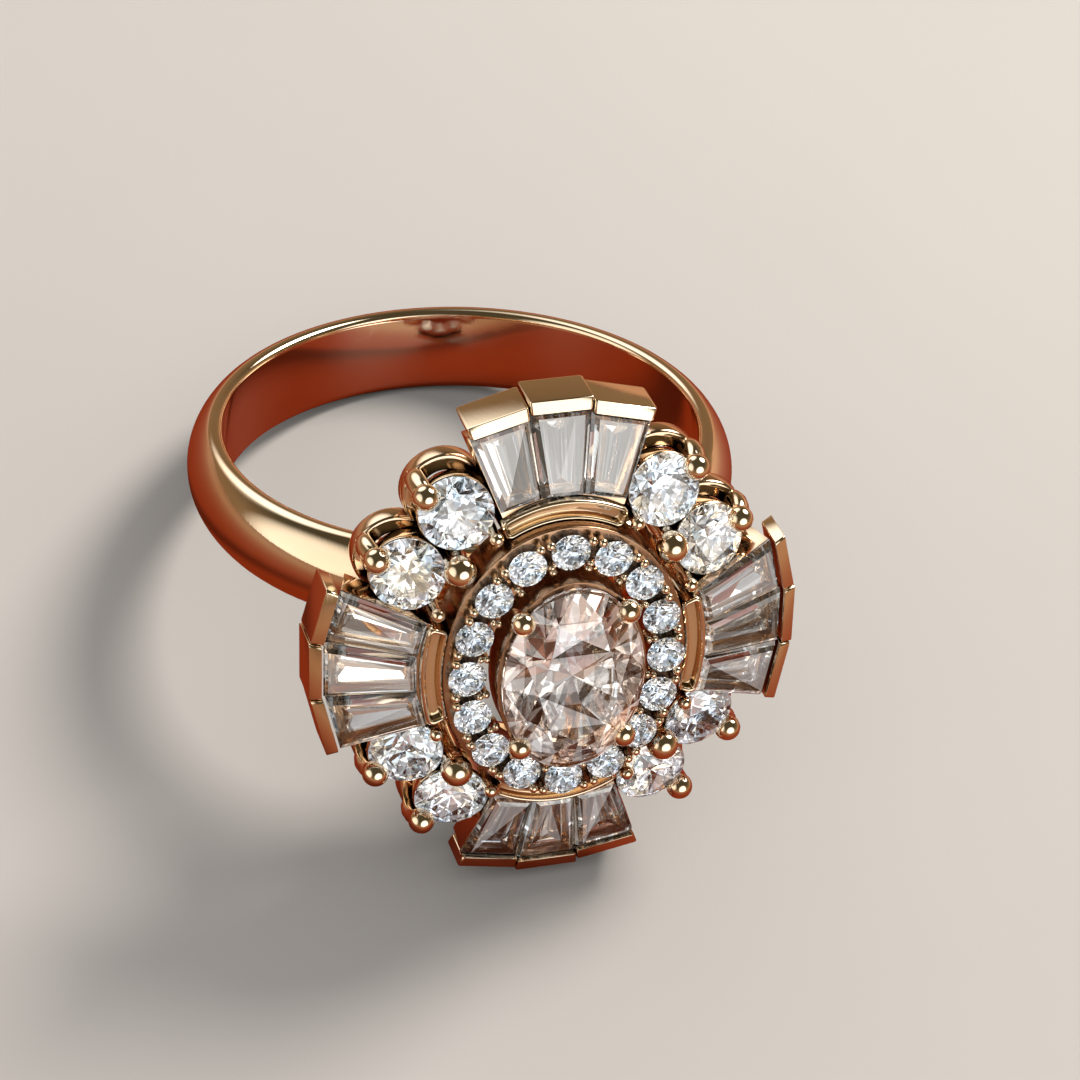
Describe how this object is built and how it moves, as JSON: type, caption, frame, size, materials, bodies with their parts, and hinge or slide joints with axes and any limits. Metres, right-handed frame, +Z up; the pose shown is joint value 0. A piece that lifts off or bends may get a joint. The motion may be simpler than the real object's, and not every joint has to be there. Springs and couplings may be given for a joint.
{
  "type": "cocktail ring",
  "caption": "Cluster cocktail ring with an oval stone in a halo, fans of tapered baguettes and round stones on an open gallery, and a plain domed band.",
  "frame": {"origin": "centre of the finger hole", "axes": "+Z up from the flat surface the ring rests on, lying on its side; the finger axis leans back from +Z towards +Y by 20.6 degrees and the head faces -Y and up"},
  "size_m": [0.0198, 0.0251, 0.018],
  "materials": {
    "rose_gold": "high polish, fine wear marks",
    "gemstone": "faceted and polished"
  },
  "bodies": {
    "root": {"baguette_east_left": "gemstone", "baguette_east_middle": "gemstone", "baguette_east_right": "gemstone", "baguette_north_left": "gemstone", "baguette_north_middle": "gemstone", "baguette_north_right": "gemstone", "baguette_south_left": "gemstone", "baguette_south_middle": "gemstone", "baguette_south_right": "gemstone", "baguette_west_left": "gemstone", "baguette_west_middle": "gemstone", "baguette_west_right": "gemstone", "centre_claws": "rose_gold", "centre_foot_ring": "rose_gold", "centre_seat_rim": "rose_gold", "centre_stone": "gemstone", "collets_north_east": "rose_gold", "collets_north_west": "rose_gold", "collets_south_east": "rose_gold", "collets_south_west": "rose_gold", "end_plates_east": "rose_gold", "end_plates_north": "rose_gold", "end_plates_south": "rose_gold", "end_plates_west": "rose_gold", "frame_east": "rose_gold", "frame_north": "rose_gold", "frame_south": "rose_gold", "frame_west": "rose_gold", "gallery_posts": "rose_gold", "gallery_rail": "rose_gold", "halo_beads": "rose_gold", "halo_ring": "rose_gold", "halo_stones": "gemstone", "inner_claws_north_east": "rose_gold", "inner_claws_north_west": "rose_gold", "inner_claws_south_east": "rose_gold", "inner_claws_south_west": "rose_gold", "loops_north_east": "rose_gold", "loops_north_west": "rose_gold", "loops_south_east": "rose_gold", "loops_south_west": "rose_gold", "outer_claws_north_east": "rose_gold", "outer_claws_north_west": "rose_gold", "outer_claws_south_east": "rose_gold", "outer_claws_south_west": "rose_gold", "rail_east": "rose_gold", "rail_north": "rose_gold", "rail_south": "rose_gold", "rail_west": "rose_gold", "round_stones_north_east": "gemstone", "round_stones_north_west": "gemstone", "round_stones_south_east": "gemstone", "round_stones_south_west": "gemstone", "shank": "rose_gold", "shared_claw_north_east": "rose_gold", "shared_claw_north_west": "rose_gold", "shared_claw_south_east": "rose_gold", "shared_claw_south_west": "rose_gold"}
  },
  "joints": []
}
